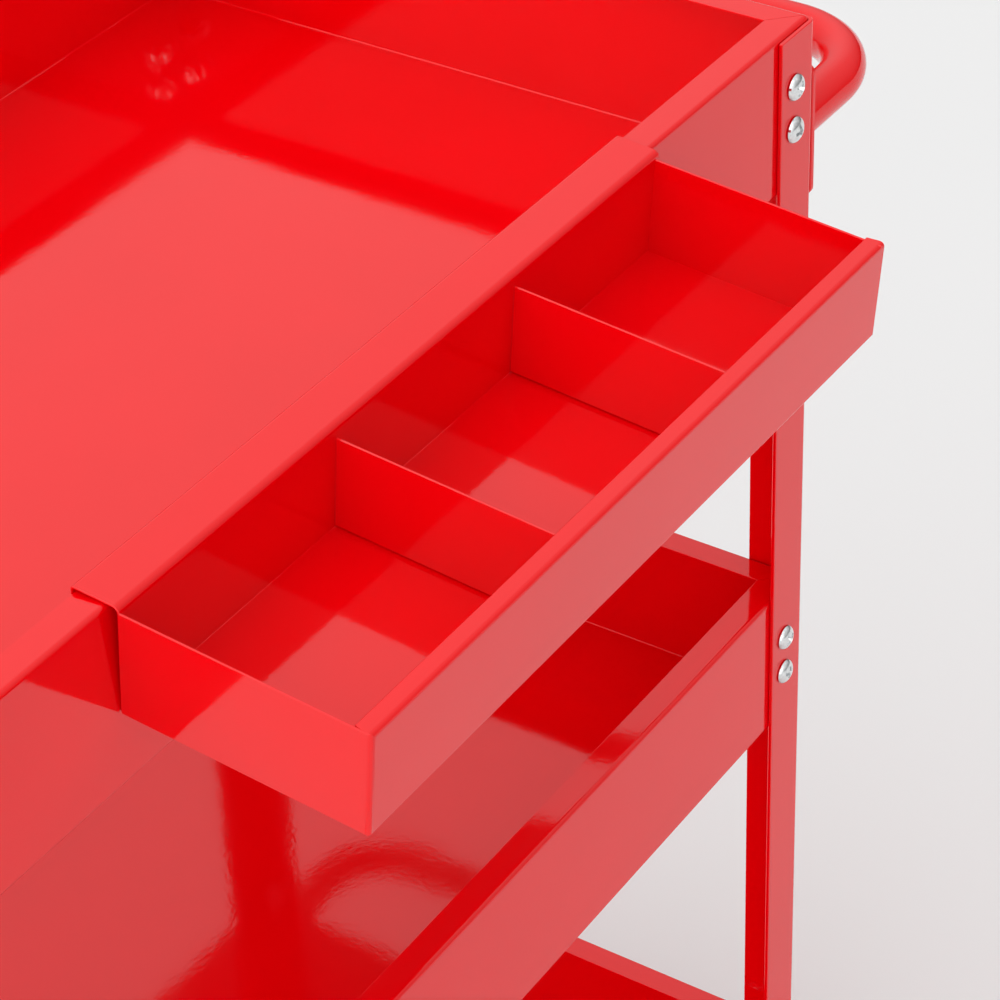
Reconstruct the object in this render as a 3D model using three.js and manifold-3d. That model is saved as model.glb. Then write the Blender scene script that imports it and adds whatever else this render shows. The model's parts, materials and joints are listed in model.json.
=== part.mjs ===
// Three-tier workshop tool trolley with a hook-on parts tray, in millimetres, +Z up.
// +X points to the push handle, -Y to the side that the parts tray hangs on.
import * as THREE from "three";
import { mergeVertices } from "three/addons/utils/BufferGeometryUtils.js";
import Module from "manifold-3d";

// ---- driving dimensions ----
const fitGap = 0.3; // clearance between pieces that touch
const runGap = 0.4; // clearance round a shaft or a screw

const trayLength = 700; // along X
const trayWidth = 366; // along Y
const trayHeight = 80;
const traySheet = 1.2;
const trayRim = 14.5; // inward flange round the top of each tray
const tierPitch = 310; // from one tray's floor to the next
const tierNames = ["lower_tray", "middle_tray", "upper_tray"];

const legFlange = 30; // equal angle
const legSheet = 2;
const legTopDrop = 2; // from the upper rim down to the leg's top end

const screwRadius = 3;
const screwHeadRadius = 7;
const screwHeadHeight = 3.6;
const screwTail = 8; // past the sheets that it holds, for its nut
const screwInset = 18.5; // from the leg's outer corner
const screwDrop = 28; // first screw below each tray's rim
const screwPitch = 21.5;

const hookTrayLength = 360;
const hookTrayDepth = 107;
const hookTrayHeight = 49; // back wall, to the top of the hook
const hookTrayStart = -147; // its left end along X
const hookTraySheet = 1;
const hookWidth = 21.5; // top plate that reaches over the rim
const hookLip = 4; // turned down at the inner edge of the hook
const frontLip = 8; // folded inwards along the front wall
const wallDrop = 2.5; // front and end walls below the top of the hook
const endInsets = [0, 2.5]; // end walls in from the sheet's left and right ends
const dividerPlaces = [128, 249]; // from the sheet's left end
const dividerDrop = 5.5; // divider's top below the top of the hook
const dividerFoot = 10;

const handleRadius = 11;
const handleReach = 98; // from the leg to the outside of the bar
const handleBend = 42;
const handleDrop = 61; // bar's axis below the upper rim
const handleFootWidth = 28;
const handleFootHeight = 68;
const handleFootSheet = 3;
const handleScrewPitch = 52;

const castorInset = [50, 44]; // castor's centre in from the tray's outside, along X and Y
const plateLength = 75;
const plateWidth = 62;
const plateSheet = 2.5;
const wheelRadius = 50;
const wheelHeadroom = 25; // from the top of the wheel to the top of the plate
const wheelWidth = 25;
const hubWidth = 27;
const tyreDepth = 8;
const cheekGap = 1; // between the hub and each cheek
const cheekSheet = 2.5;
const cheekRound = 13; // round the axle
const axleRadius = 4;
const swivelTrail = 30;
const raceRadius = 23;
const raceHeight = 9;
const crownSheet = 2.5;
const kingpinRadius = 6;
const kingpinHead = [10, 5]; // radius and height
const brakePivotDrop = 12; // its axis below the top of the wheel
const brakePinRadius = 2.5;
const brakeFinger = 14; // hangs from the pivot beside the tread
const brakePad = 28;

// ---- worked out from them ----
const boreSides = 8;
const shaftSides = 10;
const roundSides = 28;
const castorHeight = 2 * wheelRadius + wheelHeadroom;
const legOutside = fitGap + legSheet; // leg's outer face from the tray's wall
const floorHeight = (tier) => castorHeight + fitGap + tier * tierPitch;
const rimHeight = (tier) => floorHeight(tier) + trayHeight;
const topTier = tierNames.length - 1;
const screwX = trayLength / 2 + legOutside - screwInset;
const handleY = trayWidth / 2 + legOutside - legFlange / 2;
const legGrip = 2 * fitGap + legSheet + traySheet;
const footGrip = legGrip + fitGap + handleFootSheet;
const handleHeight = rimHeight(topTier) - handleDrop;
const sides = { left: -1, right: 1 };
const ends = { front: -1, back: 1 };

const colours = {
  paint: { color: 0xd0101c, roughness: 0.16, metalness: 0.0 },
  zinc: { color: 0xc9ccd0, roughness: 0.3, metalness: 0.9 },
  steel: { color: 0xb4b8bc, roughness: 0.38, metalness: 0.9 },
  hub: { color: 0x6f7479, roughness: 0.55, metalness: 0.0 },
  rubber: { color: 0x1b1c1e, roughness: 0.7, metalness: 0.0 },
  pedal: { color: 0xb01018, roughness: 0.45, metalness: 0.0 },
};

// ---- solids ----
const wasm = await Module();
wasm.setup();

function solidOf(geometry) {
  const bare = geometry.clone();
  bare.deleteAttribute("normal");
  bare.deleteAttribute("uv");
  const merged = mergeVertices(bare, 1e-4);
  const index = Array.from(merged.index.array);
  const triVerts = [];
  for (let i = 0; i < index.length; i += 3) {
    const [a, b, c] = index.slice(i, i + 3);
    if (a !== b && b !== c && c !== a) triVerts.push(a, b, c);
  }
  return new wasm.Manifold(
    new wasm.Mesh({
      numProp: 3,
      vertProperties: merged.attributes.position.array,
      triVerts: new Uint32Array(triVerts),
    }),
  );
}

function geometryOf(solid) {
  const mesh = solid.getMesh();
  const geometry = new THREE.BufferGeometry();
  geometry.setAttribute("position", new THREE.BufferAttribute(mesh.vertProperties, 3));
  geometry.setIndex(new THREE.BufferAttribute(mesh.triVerts, 1));
  geometry.computeVertexNormals();
  return geometry;
}

// A box between two corners.
function block(low, high) {
  const size = high.map((value, i) => value - low[i]);
  const box = new THREE.BoxGeometry(...size);
  return solidOf(box.translate(...low.map((value, i) => value + size[i] / 2)));
}

// A round bar from a point along one axis.
function bar(radius, from, length, axis, segments) {
  const rod = new THREE.CylinderGeometry(radius, radius, length, segments);
  rod.translate(0, length / 2, 0);
  if (axis === "x") rod.rotateZ(-Math.PI / 2);
  if (axis === "z") rod.rotateX(Math.PI / 2);
  return solidOf(rod.translate(...from));
}

// An outline in X and Z, between two planes across Y.
function slab(outline, near, far) {
  const plate = new THREE.ExtrudeGeometry(outline, {
    depth: far - near,
    bevelEnabled: false,
    curveSegments: 6,
  });
  return solidOf(plate.rotateX(Math.PI / 2).translate(0, far, 0));
}

function outlineOf(points) {
  return new THREE.Shape(points.map(([x, z]) => new THREE.Vector2(x, z)));
}

// A profile of radius and height turned round the Y axis.
function turned(profile, segments) {
  const points = profile.map(([radius, along]) => new THREE.Vector2(radius, along));
  return solidOf(new THREE.LatheGeometry(points, segments));
}

const joined = (...solids) => solids.reduce((whole, piece) => whole.add(piece));
const cut = (solid, ...tools) => tools.reduce((rest, tool) => rest.subtract(tool), solid);

function named(name, solid, finish) {
  const mesh = new THREE.Mesh(geometryOf(solid), new THREE.MeshStandardMaterial(colours[finish]));
  mesh.name = name;
  return mesh;
}

// ---- where the screws go ----
const screwHeights = tierNames.map((_, tier) =>
  [0, 1].map((row) => rimHeight(tier) - screwDrop - row * screwPitch),
);
const handleScrewHeights = [-0.5, 0.5].map((share) => handleHeight + share * handleScrewPitch);

function frontBores(heights) {
  const reach = trayWidth / 2 + legFlange;
  return heights.flatMap((z) =>
    [-1, 1].map((side) =>
      bar(screwRadius + runGap, [side * screwX, -reach, z], 2 * reach, "y", boreSides),
    ),
  );
}

function handleBores() {
  return handleScrewHeights.flatMap((z) =>
    [-1, 1].map((end) =>
      bar(screwRadius + runGap, [0, end * handleY, z], trayLength, "x", boreSides),
    ),
  );
}

// ---- trays and legs ----
function tray(tier) {
  const [x, y] = [trayLength / 2, trayWidth / 2];
  const [floor, rim] = [floorHeight(tier), rimHeight(tier)];
  const shell = block([-x, -y, floor], [x, y, rim]);
  const inside = block(
    [traySheet - x, traySheet - y, floor + traySheet],
    [x - traySheet, y - traySheet, rim - traySheet],
  );
  const mouth = block(
    [trayRim - x, trayRim - y, rim - 2 * traySheet],
    [x - trayRim, y - trayRim, rim + traySheet],
  );
  const bores = frontBores(screwHeights[tier]);
  if (tier === topTier) bores.push(...handleBores());
  return cut(shell, inside, mouth, ...bores);
}

function leg(side, end) {
  const [x, y] = [trayLength / 2, trayWidth / 2].map((half) => half + legOutside);
  const [low, high] = [floorHeight(0), rimHeight(topTier) - legTopDrop];
  const spanX = [x - legFlange, x].map((value) => side * value).sort((a, b) => a - b);
  const spanY = [y - legFlange, y].map((value) => end * value).sort((a, b) => a - b);
  const webX = [x - legSheet, x].map((value) => side * value).sort((a, b) => a - b);
  const webY = [y - legSheet, y].map((value) => end * value).sort((a, b) => a - b);
  const angle = joined(
    block([spanX[0], webY[0], low], [spanX[1], webY[1], high]),
    block([webX[0], spanY[0], low], [webX[1], spanY[1], high]),
  );
  const bores = frontBores(screwHeights.flat());
  if (side > 0) bores.push(...handleBores());
  return cut(angle, ...bores);
}

// A mushroom-headed screw along +Y, with its head's underside at the origin.
function screw(reach) {
  return turned(
    [
      [0, -screwHeadHeight],
      [0.45 * screwHeadRadius, -0.9 * screwHeadHeight],
      [0.8 * screwHeadRadius, -0.6 * screwHeadHeight],
      [screwHeadRadius, 0],
      [screwRadius, 0],
      [screwRadius, reach],
      [0, reach],
    ],
    shaftSides,
  );
}

function trayScrews() {
  const group = new THREE.Group();
  const face = trayWidth / 2 + legOutside + fitGap;
  tierNames.forEach((tierName, tier) => {
    for (const [endName, end] of Object.entries(ends))
      for (const [sideName, side] of Object.entries(sides))
        screwHeights[tier].forEach((z, row) => {
          const name = `${tierName}_screw_${endName}_${sideName}_${row + 1}`;
          const mesh = named(name, screw(legGrip + screwTail), "zinc");
          mesh.position.set(side * screwX, end * face, z);
          mesh.rotation.z = end > 0 ? Math.PI : 0;
          group.add(mesh);
        });
  });
  return group;
}

// ---- hook-on parts tray ----
// Its own frame: the back wall's rear face is y = 0, the top of the hook is z = 0.
function hookTray() {
  const [t, length, depth, height] = [hookTraySheet, hookTrayLength, hookTrayDepth, hookTrayHeight];
  const across = (low, high) => block([0, ...low], [length, ...high]);
  const [leftWall, rightWall] = [endInsets[0], length - endInsets[1] - t];
  const endWall = (x) => block([x, -depth, -height], [x + t, 0, -wallDrop]);
  return joined(
    across([-t, -t], [hookWidth - t, 0]),
    across([hookWidth - 2 * t, -hookLip], [hookWidth - t, 0]),
    across([-t, -height], [0, 0]),
    across([-depth, -height], [0, t - height]),
    across([-depth, -height], [t - depth, -wallDrop]),
    across([-depth, -wallDrop - t], [frontLip - depth, -wallDrop]),
    endWall(leftWall),
    endWall(rightWall),
  );
}

// An upright sheet with a foot, standing between the front and back walls.
function divider(position) {
  const t = hookTraySheet;
  const [front, back] = [t + fitGap - hookTrayDepth, -t - fitGap];
  const [low, high] = [t + fitGap - hookTrayHeight, -dividerDrop];
  const upright = joined(
    block([position, front, low], [position + t, back, high]),
    block([position, front, low], [position + dividerFoot, back, low + t]),
  );
  const lipRoom = block(
    [position - t, front - t, -wallDrop - t - fitGap],
    [position + 2 * t, frontLip + fitGap - hookTrayDepth, 0],
  );
  return cut(upright, lipRoom);
}

// The tray leans out until the hook's lip pulls on the rim's inner edge
// and the foot of its back wall bears on the big tray's wall.
function hangingTray() {
  const gripWidth = hookWidth - 2 * hookTraySheet;
  const rimGrip = trayRim + 2 * fitGap;
  const lean =
    Math.atan2(gripWidth, hookTrayHeight) -
    Math.asin(rimGrip / Math.hypot(gripWidth, hookTrayHeight));
  const backFace = -trayWidth / 2 - fitGap - hookTrayHeight * Math.sin(lean);
  const overhang = -trayWidth / 2 - backFace - hookTraySheet * Math.sin(lean);
  const group = new THREE.Group();
  group.position.set(
    hookTrayStart,
    backFace,
    rimHeight(topTier) + fitGap + hookTraySheet * Math.cos(lean) - overhang * Math.tan(lean),
  );
  group.rotation.x = lean;
  group.add(named("hook_tray", hookTray(), "paint"));
  dividerPlaces.forEach((place, i) =>
    group.add(named(`hook_tray_divider_${i + 1}`, divider(place), "paint")),
  );
  return group;
}

// ---- push handle ----
function pushHandle() {
  const start = trayLength / 2 + legOutside + fitGap;
  const bend = start + handleReach - handleRadius - handleBend;
  const half = handleY;
  const path = new THREE.CurvePath();
  const point = (x, y) => new THREE.Vector3(x, y, handleHeight);
  const corner = (end) => point(bend + handleBend, end * half);
  path.add(new THREE.LineCurve3(point(start, -half), point(bend, -half)));
  path.add(
    new THREE.QuadraticBezierCurve3(
      point(bend, -half),
      corner(-1),
      point(bend + handleBend, handleBend - half),
    ),
  );
  path.add(
    new THREE.LineCurve3(
      point(bend + handleBend, handleBend - half),
      point(bend + handleBend, half - handleBend),
    ),
  );
  path.add(
    new THREE.QuadraticBezierCurve3(
      point(bend + handleBend, half - handleBend),
      corner(1),
      point(bend, half),
    ),
  );
  path.add(new THREE.LineCurve3(point(bend, half), point(start, half)));
  const section = new THREE.Shape().absarc(0, 0, handleRadius, 0, 2 * Math.PI);
  const tube = new THREE.ExtrudeGeometry(section, {
    steps: 34,
    curveSegments: shaftSides / 2,
    extrudePath: path,
    bevelEnabled: false,
  });
  const foot = (end) =>
    block(
      [start, end * half - handleFootWidth / 2, handleHeight - handleFootHeight / 2],
      [start + handleFootSheet, end * half + handleFootWidth / 2, handleHeight + handleFootHeight / 2],
    );
  return cut(joined(solidOf(tube), foot(-1), foot(1)), ...handleBores());
}

function handleScrews() {
  const group = new THREE.Group();
  const face = trayLength / 2 + legOutside + 2 * fitGap + handleFootSheet;
  for (const [endName, end] of Object.entries(ends))
    handleScrewHeights.forEach((z, row) => {
      const name = `handle_screw_${endName}_${row + 1}`;
      const mesh = named(name, screw(footGrip + screwTail), "zinc");
      mesh.position.set(face, end * handleY, z);
      mesh.rotation.z = Math.PI / 2;
      group.add(mesh);
    });
  return group;
}

// ---- castors: each in a frame with its plate's centre over the origin, on the floor ----
const cheekInside = hubWidth / 2 + cheekGap;
const cheekOutside = cheekInside + cheekSheet;
const plateBottom = castorHeight - plateSheet;
// The pedal's pivot stands straight above the foremost point of the tread.
const brakePivot = [swivelTrail + wheelRadius, 2 * wheelRadius - brakePivotDrop];

function cheeks(outline, bores) {
  const pair = joined(
    slab(outline, -cheekOutside, -cheekInside),
    slab(outline, cheekInside, cheekOutside),
  );
  const tools = bores.map(([x, z, radius]) =>
    bar(radius + runGap, [x, -2 * cheekOutside, z], 4 * cheekOutside, "y", shaftSides),
  );
  return { pair, tools };
}

const topPlate = () =>
  block(
    [-plateLength / 2, -plateWidth / 2, plateBottom],
    [plateLength / 2, plateWidth / 2, castorHeight],
  );

function fixedBracket() {
  const shoulder = 0.38 * plateLength;
  const outline = outlineOf([
    [-shoulder, plateBottom + plateSheet / 2],
    [shoulder, plateBottom + plateSheet / 2],
    [cheekRound, wheelRadius],
  ]);
  outline.absarc(0, wheelRadius, cheekRound, 0, -Math.PI, true);
  const { pair, tools } = cheeks(outline, [[0, wheelRadius, axleRadius]]);
  return cut(joined(pair, topPlate()), ...tools);
}

const crownTop = plateBottom - raceHeight - fitGap;

// The plate carries the ball race and the kingpin that holds the fork.
function swivelPlate() {
  const pinLow = crownTop - crownSheet - fitGap - kingpinHead[1];
  return joined(
    topPlate(),
    bar(raceRadius, [0, 0, plateBottom - raceHeight], raceHeight + plateSheet / 2, "z", roundSides),
    bar(kingpinRadius, [0, 0, pinLow], plateBottom - pinLow, "z", shaftSides),
    bar(kingpinHead[0], [0, 0, pinLow], kingpinHead[1], "z", 6),
  );
}

function swivelFork() {
  const ear = 7;
  const outline = outlineOf([
    [-raceRadius + 2, crownTop],
    [raceRadius + 3, crownTop],
    [brakePivot[0] + ear, brakePivot[1] + ear],
    [brakePivot[0] + ear, brakePivot[1] - ear],
    [swivelTrail + cheekRound, wheelRadius],
  ]);
  outline.absarc(swivelTrail, wheelRadius, cheekRound, 0, -Math.PI, true);
  const { pair, tools } = cheeks(outline, [
    [swivelTrail, wheelRadius, axleRadius],
    [...brakePivot, brakePinRadius],
  ]);
  const crown = block(
    [-raceRadius + 2, -cheekOutside, crownTop - crownSheet],
    [raceRadius + 3, cheekOutside, crownTop],
  );
  const pinBore = bar(
    kingpinRadius + runGap,
    [0, 0, crownTop - 2 * crownSheet],
    3 * crownSheet,
    "z",
    shaftSides,
  );
  return cut(joined(pair, crown), pinBore, ...tools);
}

function brakePedal() {
  const half = cheekInside - cheekGap;
  const [x, z] = brakePivot;
  const boss = brakePinRadius + 2;
  const outline = outlineOf([
    [x - boss + 2, z - brakeFinger],
    [x + boss - 2, z - brakeFinger],
    [x + boss, z - boss + 2],
    [x + brakePad, z + 3],
    [x + brakePad, z + 6.5],
    [x + boss, z + boss],
    [x - boss, z + boss],
    [x - boss, z - boss + 2],
  ]);
  return joined(
    slab(outline, -half, half),
    bar(brakePinRadius, [x, -cheekOutside - 1, z], 2 * cheekOutside + 2, "y", shaftSides),
  );
}

function wheelCore() {
  const [bore, hub, rim] = [axleRadius + runGap, 13, wheelRadius - tyreDepth - fitGap];
  const [web, rimDepth, rimHalf] = [3, 5, wheelWidth / 2 - 2];
  return turned(
    [
      [bore, -hubWidth / 2],
      [hub, -hubWidth / 2],
      [hub, -web],
      [rim - rimDepth, -web],
      [rim - rimDepth, -rimHalf],
      [rim, -rimHalf],
      [rim, rimHalf],
      [rim - rimDepth, rimHalf],
      [rim - rimDepth, web],
      [hub, web],
      [hub, hubWidth / 2],
      [bore, hubWidth / 2],
      [bore, -hubWidth / 2],
    ],
    roundSides,
  );
}

function tyre() {
  const [half, edge] = [wheelWidth / 2, 4];
  const seat = wheelRadius - tyreDepth;
  return turned(
    [
      [seat, -half],
      [wheelRadius - edge, -half],
      [wheelRadius - 1, edge - half],
      [wheelRadius, 0],
      [wheelRadius - 1, half - edge],
      [wheelRadius - edge, half],
      [seat, half],
      [seat, -half],
    ],
    roundSides,
  );
}

function axleBolt() {
  const face = cheekOutside + fitGap;
  const headDepth = 5;
  const hexRadius = 1.8 * axleRadius;
  return joined(
    bar(axleRadius, [0, -face - headDepth / 2, 0], 2 * face + headDepth, "y", shaftSides),
    bar(hexRadius, [0, -face - headDepth, 0], headDepth, "y", 6),
    bar(hexRadius, [0, face, 0], headDepth, "y", 6),
  );
}

function castor(name, swivels) {
  const group = new THREE.Group();
  const trail = swivels ? swivelTrail : 0;
  if (swivels) {
    group.add(named(`${name}_plate`, swivelPlate(), "steel"));
    group.add(named(`${name}_fork`, swivelFork(), "steel"));
    group.add(named(`${name}_brake_pedal`, brakePedal(), "pedal"));
  } else {
    group.add(named(`${name}_bracket`, fixedBracket(), "steel"));
  }
  const wheel = new THREE.Group();
  wheel.position.set(trail, 0, wheelRadius);
  wheel.add(named(`${name}_wheel`, wheelCore(), "hub"));
  wheel.add(named(`${name}_tyre`, tyre(), "rubber"));
  wheel.add(named(`${name}_axle`, axleBolt(), "zinc"));
  group.add(wheel);
  return group;
}

// ---- the whole trolley ----
const trolley = new THREE.Group();
tierNames.forEach((name, tier) => trolley.add(named(name, tray(tier), "paint")));
for (const [endName, end] of Object.entries(ends))
  for (const [sideName, side] of Object.entries(sides)) {
    trolley.add(named(`leg_${endName}_${sideName}`, leg(side, end), "paint"));
    const wheels = castor(`castor_${endName}_${sideName}`, side > 0);
    wheels.position.set(
      side * (trayLength / 2 - castorInset[0]),
      end * (trayWidth / 2 - castorInset[1]),
      0,
    );
    trolley.add(wheels);
  }
trolley.add(trayScrews(), hangingTray(), named("push_handle", pushHandle(), "paint"), handleScrews());

// The origin is the middle of the whole trolley's box, on the floor.
const extent = new THREE.Box3().setFromObject(trolley, true);
const middle = extent.getCenter(new THREE.Vector3());
trolley.position.set(-middle.x, -middle.y, -extent.min.z);

export default trolley;
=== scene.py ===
"""Looks of the three-tier tool trolley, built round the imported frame. Lengths are in metres."""

import json
import math

import bmesh
import bpy
from mathutils import Matrix, Vector
from mathutils.geometry import convex_hull_2d


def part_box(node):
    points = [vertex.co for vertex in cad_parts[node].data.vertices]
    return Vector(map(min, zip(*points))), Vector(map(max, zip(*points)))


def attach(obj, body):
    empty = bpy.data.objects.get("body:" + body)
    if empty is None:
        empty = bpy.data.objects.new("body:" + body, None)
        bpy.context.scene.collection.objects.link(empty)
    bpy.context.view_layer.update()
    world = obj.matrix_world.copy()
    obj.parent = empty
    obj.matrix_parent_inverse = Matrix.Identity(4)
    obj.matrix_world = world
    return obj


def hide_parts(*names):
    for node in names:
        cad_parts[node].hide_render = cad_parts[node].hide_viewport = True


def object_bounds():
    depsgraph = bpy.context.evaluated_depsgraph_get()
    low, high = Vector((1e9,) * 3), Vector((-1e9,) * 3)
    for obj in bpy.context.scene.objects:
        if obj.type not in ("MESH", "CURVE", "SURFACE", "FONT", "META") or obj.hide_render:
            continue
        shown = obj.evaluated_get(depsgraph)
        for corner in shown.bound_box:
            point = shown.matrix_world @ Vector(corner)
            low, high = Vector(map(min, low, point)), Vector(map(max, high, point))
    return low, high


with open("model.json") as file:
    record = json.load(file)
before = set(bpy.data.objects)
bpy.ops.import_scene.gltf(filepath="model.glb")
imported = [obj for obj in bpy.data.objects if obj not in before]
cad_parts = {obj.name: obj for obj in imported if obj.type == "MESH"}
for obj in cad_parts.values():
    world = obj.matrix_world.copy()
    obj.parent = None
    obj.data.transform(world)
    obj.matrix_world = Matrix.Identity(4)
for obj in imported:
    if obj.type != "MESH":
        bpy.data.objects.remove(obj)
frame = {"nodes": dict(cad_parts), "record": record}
cad_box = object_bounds()

MM = 0.001

# ---- sizes of the real pieces that the frame doesn't give ----
TRAY_SHEET = 1.2 * MM
TRAY_RIM = 14.5 * MM
TRAY_BEND = 2.2 * MM  # outside radius of its folds
TRAY_CORNER = 1.8 * MM  # upright corners
LEG_SHEET = 2 * MM
LEG_FLANGE = 30 * MM
LEG_BEND = 3 * MM
FIT_GAP = 0.3 * MM  # between pieces that touch

HOOK_SHEET = 1 * MM
HOOK_WIDTH = 21.5 * MM
HOOK_DEPTH = 107 * MM
HOOK_HEIGHT = 49 * MM
HOOK_LIP = 4 * MM
HOOK_WALL_DROP = 2.5 * MM
HOOK_FRONT_LIP = 8 * MM
HOOK_OVERHANG = 2.5 * MM  # front and back walls past the right end wall
HOOK_FOLDS = [1.2 * MM, 2.6 * MM, 0.8 * MM, 0.8 * MM, 1.5 * MM]  # at mid-sheet, from the inner lip on
HOOK_CORNER = 2 * MM  # upright corner at the left end of the front wall
DIVIDER_FOLD = 1 * MM
DIVIDER_DROP = 5.5 * MM

SCREW_RADIUS = 3 * MM
SCREW_HEAD = (6.4 * MM, 3.6 * MM)  # radius and height
NUT_ACROSS = 10 * MM  # across its flats
NUT_HEIGHT = 5 * MM
WASHER = (6.2 * MM, 1.1 * MM)  # radius and thickness

TUBE_RADIUS = 11 * MM
TUBE_BEND = 42 * MM
FOOT = (28 * MM, 68 * MM, 3 * MM)

PLATE_SHEET = 2.5 * MM
WHEEL_RADIUS = 50 * MM
TYRE_DEPTH = 8 * MM
WHEEL_WIDTH = 25 * MM
HUB_WIDTH = 27 * MM
CHEEK_INSIDE = 14.5 * MM
CHEEK_OUTSIDE = 17 * MM
AXLE_RADIUS = 4 * MM
RACE_RADIUS = 23 * MM
RACE_HEIGHT = 9 * MM
BOLT_PITCH = (30 * MM, 24 * MM)  # castor bolts, from the plate's centre
SWIVEL_TRAIL = 30 * MM
BRAKE_PIVOT = (80 * MM, 88 * MM)  # along X and Z

# the studio surround: direction, brightness and how narrow each part is
SURROUND = [
    ((-1, 0, 0), 1.4, 1),
    ((0, 1, 0), 0.4, 1),
    ((0, -1, 0), 0.3, 1),
    ((0, 0, 1), 0.95, 1),
    ((0.62, 0.5, 0.6), 0.3, 5),
]

BEND_STEPS = 6
EDGE = 0.3 * MM  # rounding of a cut sheet's edges

upper_low, upper_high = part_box("upper_tray")
hook_low, hook_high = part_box("hook_tray")


# ---- camera, light and floor ----
def add_camera():
    """The photograph's view: over the parts tray's left end, looking to the right and back."""
    azimuth, elevation, roll = [math.radians(angle) for angle in (-55.37, 35.81, -2.42)]
    back = Vector(
        (
            math.sin(azimuth) * math.cos(elevation),
            -math.cos(azimuth) * math.cos(elevation),
            math.sin(elevation),
        )
    )
    level = Vector((math.cos(azimuth), math.sin(azimuth), 0))
    right = level * math.cos(roll) + back.cross(level) * math.sin(roll)
    turn = Matrix((right, back.cross(right), back)).transposed().to_4x4()
    corner = Vector((hook_low.x, upper_low.y, upper_high.z))
    place = corner + Vector((-0.6855, -0.6398, 0.7070))
    data = bpy.data.cameras.new("camera")
    data.lens = 122
    data.sensor_width = 36
    camera = bpy.data.objects.new("camera", data)
    camera.matrix_world = Matrix.Translation(place) @ turn
    bpy.context.scene.collection.objects.link(camera)
    bpy.context.scene.camera = camera


def add_light():
    """A studio surround, brighter overhead and on the left, and a large dim lamp overhead."""
    scene = bpy.context.scene
    scene.view_settings.view_transform = "Standard"
    world = bpy.data.worlds.new("studio")
    world.use_nodes = True
    tree = world.node_tree
    way = tree.nodes.new("ShaderNodeTexCoord").outputs["Generated"]
    total = None
    for aim, amount, sharpness in SURROUND:
        facing_it = tree.nodes.new("ShaderNodeVectorMath")
        facing_it.operation = "DOT_PRODUCT"
        facing_it.inputs[1].default_value = Vector(aim).normalized()
        tree.links.new(way, facing_it.inputs[0])
        front = sum_node(tree, "MAXIMUM", facing_it.outputs["Value"], 0)
        lobe = sum_node(tree, "POWER", front, sharpness)
        part = sum_node(tree, "MULTIPLY", lobe, amount)
        total = sum_node(tree, "ADD", part, total) if total else part
    tree.links.new(total, tree.nodes["Background"].inputs["Strength"])
    tree.nodes["Background"].inputs["Color"].default_value = (1, 1, 1, 1)
    scene.world = world
    lamp = bpy.data.lights.new("softbox", "AREA")
    lamp.shape = "RECTANGLE"
    lamp.size, lamp.size_y = 3, 2
    lamp.energy = 4
    softbox = bpy.data.objects.new("softbox", lamp)
    softbox.location = (-1.2, 0.6, 3.2)
    aim = softbox.location - Vector((0, 0, 0.8))
    softbox.rotation_euler = aim.to_track_quat("Z", "Y").to_euler()
    scene.collection.objects.link(softbox)


def sum_node(tree, operation, first, second):
    node = tree.nodes.new("ShaderNodeMath")
    node.operation = operation
    tree.links.new(first, node.inputs[0])
    if isinstance(second, (int, float)):
        node.inputs[1].default_value = second
    else:
        tree.links.new(second, node.inputs[1])
    return node.outputs["Value"]


def add_floor():
    half = 20
    bm = bmesh.new()
    corners = [(-half, -half), (half, -half), (half, half), (-half, half)]
    bm.faces.new([bm.verts.new((x, y, 0)) for x, y in corners])
    floor = object_of("floor", bm)
    floor.data.materials.append(floor_paint())


# ---- outlines ----
def arc(centre, radius, start, end, steps=BEND_STEPS):
    """Points round part of a circle, with angles in degrees."""
    angles = [math.radians(start + (end - start) * step / steps) for step in range(steps + 1)]
    return [Vector((centre[0] + radius * math.cos(a), centre[1] + radius * math.sin(a))) for a in angles]


def rounded_rectangle(low, high, radius, steps=BEND_STEPS):
    corners = [
        ((high[0] - radius, high[1] - radius), 0),
        ((low[0] + radius, high[1] - radius), 90),
        ((low[0] + radius, low[1] + radius), 180),
        ((high[0] - radius, low[1] + radius), 270),
    ]
    return [p for centre, start in corners for p in arc(centre, radius, start, start + 90, steps)]


def folded(points, radii, steps=BEND_STEPS):
    """An open path with its corners turned into arcs, of one radius or of one for each."""
    points = [Vector(p) for p in points]
    if not isinstance(radii, (list, tuple)):
        radii = [radii] * (len(points) - 2)
    path = [points[0]]
    for before, corner, after, radius in zip(points, points[1:], points[2:], radii):
        back, ahead = (before - corner).normalized(), (after - corner).normalized()
        half = back.angle(ahead) / 2
        centre = corner + (back + ahead).normalized() * radius / math.sin(half)
        spoke = corner + back * radius / math.tan(half) - centre
        turn = math.copysign(math.pi - 2 * half, -(back.x * ahead.y - back.y * ahead.x))
        for step in range(steps + 1):
            angle = turn * step / steps
            path.append(centre + Matrix.Rotation(angle, 2) @ spoke)
    path.append(points[-1])
    return path


def sheet_outline(path, sheet):
    """Both faces of a sheet whose middle follows an open path, with its cut edges eased."""
    ways = [(b - a).normalized() for a, b in zip(path, path[1:])]
    sides = [Vector((-way.y, way.x)) for way in ways]
    normals = [sides[0]]
    for a, b in zip(sides, sides[1:]):
        mean = (a + b).normalized()
        normals.append(mean / mean.dot(a))
    normals.append(sides[-1])
    half = sheet / 2
    left = [p + n * half for p, n in zip(path, normals)]
    right = [p - n * half for p, n in zip(path, normals)]
    left[0] += ways[0] * EDGE
    right[0] += ways[0] * EDGE
    left[-1] -= ways[-1] * EDGE
    right[-1] -= ways[-1] * EDGE
    start = [path[0] - sides[0] * (half - EDGE), path[0] + sides[0] * (half - EDGE)]
    end = [path[-1] + sides[-1] * (half - EDGE), path[-1] - sides[-1] * (half - EDGE)]
    return left + end + right[::-1] + start


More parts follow.
